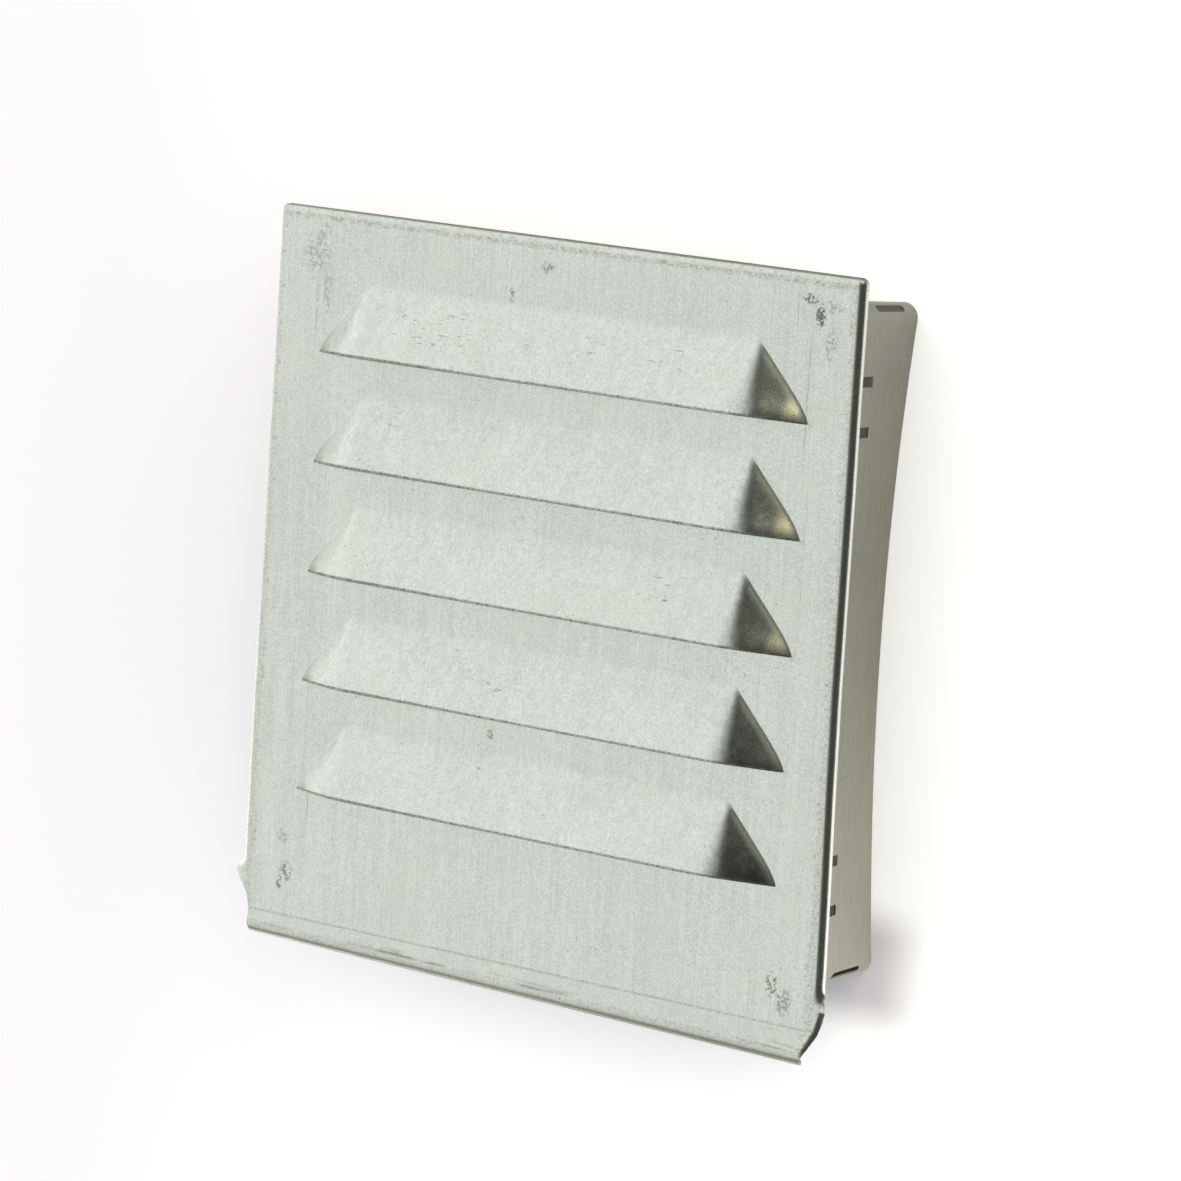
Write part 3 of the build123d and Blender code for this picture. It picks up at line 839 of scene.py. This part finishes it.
def zinc_finish(colours, plate, louvre):
    """Skin-passed zinc on the plate, with rolling streaks, worn folds, scuffs and press marks, painted shade
    on the louvres' right ends, lips, left tips, end creases and top rim, and painted highlights at the lips'
    right corners and on the right fold's rim.
    """
    material = bpy.data.materials.new("plate_zinc")
    shader = Shader(material)
    place = shader.place()
    x, y, z = shader.axes(place)
    pepper = shader.noise(place, 3000, 1.0, 0.5)
    dust = shader.noise(shader.scaled(place, (0.8, 0.8, 1)), 1500, 2.0, 0.7)
    patches = shader.noise(shader.scaled(place, (0.22, 1, 1)), 130).step(0.50, 0.60)
    grain = shader.noise(place, 1500)
    mottle = shader.noise(place, 380, 3.0)
    clouds = shader.noise(place, 24, 4.0)
    streaks = shader.noise(shader.scaled(place, (1, 1, 0.03)), 950)
    tracks = shader.noise(shader.scaled(place, (1, 1, 0.05)), 190)
    flecks = shader.noise(place, 900, 1.0, 0.5)
    dashes = shader.noise(shader.scaled(place, (0.22, 0.22, 1)), 1300)
    crust = shader.noise(shader.scaled(place, (0.55, 0.55, 1)), 700, 3.0, 0.7)

    # Places on the plate: before its face, up a louvre's pitch, in from its edges and under the crease
    depth = FRONT - y
    fronted = z.step(plate.crease + 0.020, plate.crease + 0.030)
    on_hood = depth.step(0.0005, 0.002) * fronted
    lowest = plate.crease + louvre.lowest
    rows = (z - (lowest - 0.004)).math("FLOORED_MODULO", louvre.pitch) - 0.004
    above_lip = rows - depth * (louvre.lip_lift / louvre.reach)
    from_side = plate.width / 2 - x.abs()
    from_top = plate.top - z
    side_band = near(from_side, 0.0022, 0.0020)
    edge_wear = side_band.most(near(from_top, 0.0024, 0.0018))
    top_line = near(from_top, 0.0030, 0.0013)
    rim = (y - FRONT).step(0.0014, 0.0026)
    # Painted highlight along the right fold's rim and its outer edge
    right_rim_highlight = (rim * x.step(0.1125, 0.1145)).most(x.step(0.1165, 0.1173))
    # Painted shade along the top fold's rim
    top_rim_shade = rim * from_top.step(0.0012, 0.0004)
    side_line = near(from_side, 0.0040, 0.0009)
    crease_line = near(z, plate.crease, 0.00055)
    kick = x * ((plate.kick_right - plate.kick_left) / plate.width) + (plate.kick_left + plate.kick_right) / 2
    under = z - plate.crease + kick * math.cos(plate.kick_angle)
    nose_line = near(under, -0.0007, 0.0005)
    nose = under.step(-0.0003, -0.0018)

    # The zinc's tone, with painted shade on the louvres' right ends and painted highlights at the lips' right
    # corners and on the right fold's rim
    light = pepper * 0.32 + grain * 0.28 + mottle * 0.12 + streaks * 0.18 + tracks * 0.1
    strip = z.step(plate.crease + 0.0003, plate.crease - 0.0003) * 0.35
    worn = light.step(0.43, 0.57) * 0.9 + clouds.step(0.35, 0.7) * 0.12 + nose * 0.2 + strip + edge_wear * 0.2
    tone = shader.blend(worn, colours.plate, colours.dull)
    ends = on_hood * x.step(0.072, 0.084)
    # Painted shade on the louvres' right ends, darker on the lower louvres and near the lowest right tips,
    # varied by grain and mottle
    low_tip_shade = z.step(-0.02, -0.07) * x.step(0.086, 0.092) * 0.2
    painted_end_shade = z.step(0.09, -0.07, 0.15, 0.60) + grain.step(0.40, 0.60) * 0.14 + low_tip_shade
    painted_end_shade = (painted_end_shade + mottle.step(0.36, 0.64) * 0.36 - 0.25).most(0.0)
    # Painted highlight at the lips' right corners, fading on the lower louvres
    lip_corner_highlight = near(rows, 0.0040, 0.0048) * near(x, 0.0930, 0.0042) * on_hood * z.step(-0.045, 0.0)
    tone = shader.blend(ends * painted_end_shade * (1.0 - lip_corner_highlight), tone, colours.painted_end_shade)
    tone = shader.blend(lip_corner_highlight * 0.85, tone, colours.painted_highlight_zinc)
    warm = shader.noise(place, 34, 2.0, 0.5).step(0.5, 0.75) * 0.35 + edge_wear * 0.35 + nose * 0.3
    tone = shader.blend(warm, tone, colours.warm)
    # Painted highlight on the right fold's rim
    tone = shader.blend(right_rim_highlight * 0.9, tone, colours.rim_highlight_zinc)

    # Dirt and worn places, with painted shade along the top rim, the crease round the louvres' right ends,
    # the lips and the left tips
    specks = flecks.step(0.66, 0.74) * shader.noise(place, 70).step(0.48, 0.66) * 0.55
    wear_and_shade = [
        side_band * dust.step(0.46, 0.60) * 0.42,
        (nose + strip).least(1.0) * dust.step(0.48, 0.62) * 0.34,
        top_line * dust.step(0.45, 0.58) * mottle.step(0.36, 0.52) * 0.6,
        side_line * crust.step(0.54, 0.64) * 0.5,
        near(from_top, 0.0012, 0.0012) * crust.step(0.52, 0.64) * 0.3,
        # painted shade along the top fold's rim
        top_rim_shade * 0.55,
        crease_line * (dust.step(0.44, 0.58) * 0.4 + 0.08),
    ]
    near_right = from_side.step(0.012, 0.003) * x.step(0, 0.05) * z.step(-0.07, 0.0)
    wear_and_shade.append(near_right * dashes.step(0.56, 0.68) * 0.25)
    # Painted shade along the crease round the louvres' right ends, with dust over it
    end_crease_shade = depth.step(0.00002, 0.00015) * depth.step(0.0009, 0.0004) * x.step(0.076, 0.082) * fronted
    wear_and_shade.append(end_crease_shade * (dust.step(0.40, 0.55) * 0.4 + 0.4))
    scribble = near(shader.noise(place, 330, 3.0, 0.65), 0.5, 0.075)
    broken = shader.noise(place, 800).step(0.36, 0.5)
    wear_and_shade.append(scribble * broken * marks(x, z, SMUDGES) * 1.35)
    wander = x + (shader.noise(shader.scaled(place, (0, 0, 1)), 60, 2.0, 0.5) - 0.5) * 0.0012
    for line_x, low, high, strength in SCRIBES:
        line = near(wander, line_x / 1000, 0.00022) * near(z, (low + high) / 2000, (high - low) / 1600)
        wear_and_shade.append(line * strength * mottle.step(0.3, 0.5))
    scuffed = marks(x, z, SCUFFS).most(0.25) * on_hood
    wear_and_shade.append(dashes.step(0.60, 0.70) * scuffed.step(0.1, 0.9) * 0.7)
    left_share = x.step(0.0, -0.08, 0.55, 1.0)
    # Painted shade along the louvres' lips, wider at the left, with dust over it
    lip = above_lip.step(left_share * 0.0004 + 0.0007, left_share * 0.0004 + 0.0002)
    lip = lip * depth.step(0.0002, 0.0008) * fronted
    wear_and_shade.append(lip * ((dust + left_share * 0.30).step(0.50, 0.80) * 0.4 + 0.5))
    # Painted shade at the louvres' left tips, with dust over it
    tip = near(rows, 0.0, 0.004) * near(x, -0.0915, 0.006) * on_hood
    wear_and_shade.append(tip * (dust * 0.5 + 0.25))
    dirt_and_shade = specks
    for mark in wear_and_shade:
        dirt_and_shade = dirt_and_shade.most(mark)
    grimy_and_shaded = shader.blend(dirt_and_shade, tone, colours.scuff_and_shade)
    brown = nose_line * (patches * 0.65 + dust.step(0.45, 0.60) * 0.22)
    brown = brown.most(near(under, -0.0002, 0.0016) * patches * (crust.step(0.38, 0.56) * 0.38))
    along = (dust + mottle) * 0.5 + x.step(0.070, 0.085, 0.0, 0.08) + left_share * 0.03
    brown = brown.most(lip * along.step(0.50, 0.62) * 0.8)
    skin = shader.blend(brown, grimy_and_shaded, colours.grime)

    rough = 0.27 + light * 0.10 + dirt_and_shade * 0.25 + nose * 0.06 - ends * 0.05
    height = (grain * 0.5 + mottle * 0.35 + streaks * 0.3) * (ends * 1.6 + 1.0)
    shader.zinc(skin, rough, 0.35, height, clouds)
    return material


def sleeve_finish(colours):
    """Plain zinc on the sleeve, rolled along its walls."""
    material = bpy.data.materials.new("sleeve_zinc")
    shader = Shader(material)
    place = shader.place()
    grain = shader.noise(place, 1100)
    streaks = shader.noise(shader.scaled(place, (1, 1, 0.05)), 900)
    clouds = shader.noise(place, 26, 3.0)
    flecks = shader.noise(place, 700, 1.0, 0.5)
    worn = (grain * 0.4 + streaks * 0.6).step(0.35, 0.65) * 0.45 + clouds.step(0.35, 0.7) * 0.4
    tone = shader.blend(worn, colours.sleeve, colours.dull)
    specks = flecks.step(0.68, 0.76) * clouds.step(0.5, 0.62) * 0.6
    skin = shader.blend(specks, tone, colours.grime)
    rough = 0.24 + grain * 0.10 + clouds * 0.06
    shader.zinc(skin, rough, 0.25, grain + streaks, clouds)
    return material


def board_finish():
    """A pale board that shows white to the eye and in the metal, keeps a shadow, and is clear from behind,
    with painted shade inside the sleeve's outline and towards the left, a painted shadow at the sleeve's
    right foot, and painted light and shade that the metal sees
    """
    material = bpy.data.materials.new("pale_board")
    shader = Shader(material)
    x, _, z = shader.axes(shader.place())
    behind = shader.node("ShaderNodeNewGeometry", {}, {}, "Backfacing")
    # Painted shade inside the sleeve's outline, seen through the louvres and slots
    inside = x.abs().step(0.0975, 0.0965) * z.abs().step(0.1045, 0.1035)
    # The eye sees a painted shadow at the sleeve's right foot and painted shade towards the left
    foot = near(z, -0.110, 0.025) * near(x, 0.092, 0.035)
    painted_board_shade = foot * 0.8 + x.step(-0.02, -0.24) * 0.5
    shown = shader.blend(painted_board_shade, (1.46, 1.45, 1.47), (0.72, 0.68, 0.72))
    tone = shader.blend(shader.ray("Is Camera Ray"), (0.80, 0.80, 0.80), shown)
    # The metal sees painted light and shade on it: brightest at the left, bright just past the panel's right
    # side, brighter lower down, darker above the top and dark far to the right
    reach = x.step(0.25, 0.20) * (x.step(0.143, 0.151) * 0.60 + z.step(0.03, -0.09, 0.33, 0.51))
    reach = reach * z.step(0.118, 0.132, 1.0, 0.55) * x.step(-0.20, -0.15, 4.0, 1.6)
    glow = shader.node("ShaderNodeVectorMath", {"operation": "SCALE"},
                       {0: (1.05, 1.02, 0.95), "Scale": reach + 0.10})
    tone = shader.blend(shader.ray("Is Glossy Ray"), tone, glow)
    pale = shader.node("ShaderNodeBsdfDiffuse", {}, {"Color": tone})
    clear = shader.node("ShaderNodeBsdfTransparent", {}, {})
    # A faint warm glow that is the painted shade inside the sleeve's outline
    painted_inside_shade = shader.node("ShaderNodeEmission", {}, {"Color": (1.0, 0.97, 0.9, 1), "Strength": 0.08})
    pale = shader.node("ShaderNodeMixShader", {}, {0: inside, 1: pale, 2: painted_inside_shade})
    both = shader.node("ShaderNodeMixShader", {}, {0: behind, 1: pale, 2: clear})
    shader.node("ShaderNodeOutputMaterial", {}, {"Surface": both})
    return material


def direction(azimuth, elevation):
    """A unit vector from the panel: azimuth 0 is straight before it, and grows to its right."""
    turn, lift = math.radians(azimuth), math.radians(elevation)
    return (math.sin(turn) * math.cos(lift), -math.cos(turn) * math.cos(lift), math.sin(lift))


def surround(stage):
    """A bright room with one dark side and a warm lamp above it, white where the camera sees it."""
    world = bpy.data.worlds.new("pale_room")
    bpy.context.scene.world = world
    shader = Shader(world)
    way = shader.node("ShaderNodeTexCoord", {}, {}, "Generated")
    x, y, z = shader.axes(way)
    turn = x.math("ARCTAN2", y * -1.0) * (180 / math.pi)
    lift = z.math("ARCSINE") * (180 / math.pi)

    def spot(azimuth, elevation, inner, outer):
        facing = shader.node("ShaderNodeVectorMath", {"operation": "DOT_PRODUCT"},
                             {0: way, 1: direction(azimuth, elevation)}, "Value")
        return facing.step(math.cos(math.radians(outer)), math.cos(math.radians(inner)))

    # The dark side starts straight ahead and ends behind the panel's right, and its border leans
    low = lift.step(-8.0, -14.0)
    turned = turn - low * 11.0 - lift.step(-3.0, 8.0) * lift.step(32.0, 20.0) * 7.0
    dark = turned.step(-23.0, 1.0) * turn.step(150.0, 130.0) * lift.step(66.0, 50.0)
    # The sky by its height and turn, the dark floor, and the lamp with its haze
    below = lift.step(-18.0, -50.0)
    sky = lift.step(-12.0, 24.0, 1.12, 1.27) * turn.step(-50.0, -90.0, 1.0, 1.16)
    sky = sky * lift.step(48.0, 76.0, 1.0, 0.75) * (1.0 + low * 0.09)
    shade = dark * lift.step(5.0, 25.0, 0.94, 0.985)
    lamp = spot(46, 57, 4, 13) * 5.0
    haze = spot(50, 43, 5, 33) * 0.15
    level = sky * (1.0 - shade.most(below * 0.84)) + lamp + haze
    # Dull surfaces see a plainer room, and the camera sees white
    camera = shader.ray("Is Camera Ray")
    diffuse = shader.ray("Is Diffuse Ray")
    even = turn.step(-10.0, 80.0, 0.60, 1.70) * lift.step(-50.0, 35.0, 0.6, 1.25)
    level = level * (1.0 - diffuse) + even * diffuse
    strength = level * stage.light * (1.0 - camera) + camera
    tint = shader.blend(spot(46, 55, 8, 22), (1.0, 1.0, 1.0), (1.0, 0.94, 0.70))
    light = shader.node("ShaderNodeBackground", {}, {"Color": tint, "Strength": strength})
    shader.node("ShaderNodeOutputWorld", {}, {"Surface": light})


# Operators and panel


class VENT_OT_front_plate(bpy.types.Operator):
    """Makes the louvred front plate over its solid"""
    bl_idname = "vent.front_plate"
    bl_label = "Front plate"

    def execute(self, context):
        scene = context.scene
        shape = PlateShape(scene.vent_plate, scene.vent_louvres)
        piece = closed_sheet("pressed_front_plate", front_plate_skin(shape), SHEET)
        piece.data.materials.append(zinc_finish(scene.vent_colours, scene.vent_plate, scene.vent_louvres))
        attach(piece, "root")
        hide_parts("louvred_front_plate")
        return {"FINISHED"}


class VENT_OT_sleeve(bpy.types.Operator):
    """Makes the folded wall sleeve over its solid"""
    bl_idname = "vent.sleeve"
    bl_label = "Wall sleeve"

    def execute(self, context):
        scene = context.scene
        piece = closed_sheet("folded_wall_sleeve", sleeve_skin(SleeveShape(scene.vent_sleeve)), SHEET)
        piece.data.materials.append(sleeve_finish(scene.vent_colours))
        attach(piece, "root")
        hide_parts("wall_sleeve")
        return {"FINISHED"}


class VENT_OT_stage(bpy.types.Operator):
    """Makes the pale board, the surrounding light and the camera"""
    bl_idname = "vent.stage"
    bl_label = "Stage"

    def execute(self, context):
        stage = context.scene.vent_stage
        half = stage.board
        rear = sleeve_high[1]
        mesh = bpy.data.meshes.new("pale_board")
        corners = [(-half, rear, -half), (half, rear, -half), (half, rear, half), (-half, rear, half)]
        mesh.from_pydata(corners, [], [(0, 1, 2, 3)])
        board = bpy.data.objects.new("pale_board", mesh)
        context.collection.objects.link(board)
        board.data.materials.append(board_finish())
        surround(stage)
        back = Vector(direction(math.degrees(stage.azimuth), math.degrees(stage.elevation)))
        level = Vector((math.cos(stage.azimuth), math.sin(stage.azimuth), 0))
        upward = back.cross(level)
        side = level * math.cos(stage.roll) + upward * math.sin(stage.roll)
        up = upward * math.cos(stage.roll) - level * math.sin(stage.roll)
        turn = Matrix((side, up, back)).transposed().to_4x4()
        lens = bpy.data.cameras.new("camera")
        lens.lens = stage.lens
        lens.sensor_width = 36
        camera = bpy.data.objects.new("camera", lens)
        camera.matrix_world = Matrix.Translation(Vector(stage.aim) + back * stage.distance) @ turn
        context.collection.objects.link(camera)
        context.scene.camera = camera
        context.scene.view_settings.view_transform = "Standard"
        return {"FINISHED"}


class VENT_PT_panel(bpy.types.Panel):
    """Lists the steps in the sidebar"""
    bl_idname = "VENT_PT_panel"
    bl_label = "Vent panel"
    bl_space_type = "VIEW_3D"
    bl_region_type = "UI"
    bl_category = "Vent panel"

    def draw(self, context):
        for step in STEPS:
            self.layout.operator(step.bl_idname)


STEPS = (VENT_OT_front_plate, VENT_OT_sleeve, VENT_OT_stage)
GROUPS = {"vent_plate": PlateSizes, "vent_louvres": LouvreSizes, "vent_sleeve": SleeveSizes,
          "vent_colours": ZincColours, "vent_stage": StageSizes}


def register():
    for group in (*GROUPS.values(), *STEPS, VENT_PT_panel):
        bpy.utils.register_class(group)
    for name, group in GROUPS.items():
        setattr(bpy.types.Scene, name, bpy.props.PointerProperty(type=group))


def unregister():
    for name in GROUPS:
        delattr(bpy.types.Scene, name)
    for group in (VENT_PT_panel, *reversed(STEPS), *reversed(GROUPS.values())):
        bpy.utils.unregister_class(group)


def main():
    """Makes every piece and the stage."""
    register()
    bpy.ops.vent.front_plate()
    bpy.ops.vent.sleeve()
    bpy.ops.vent.stage()
    bpy.context.view_layer.update()


if __name__ == "__main__":
    main()
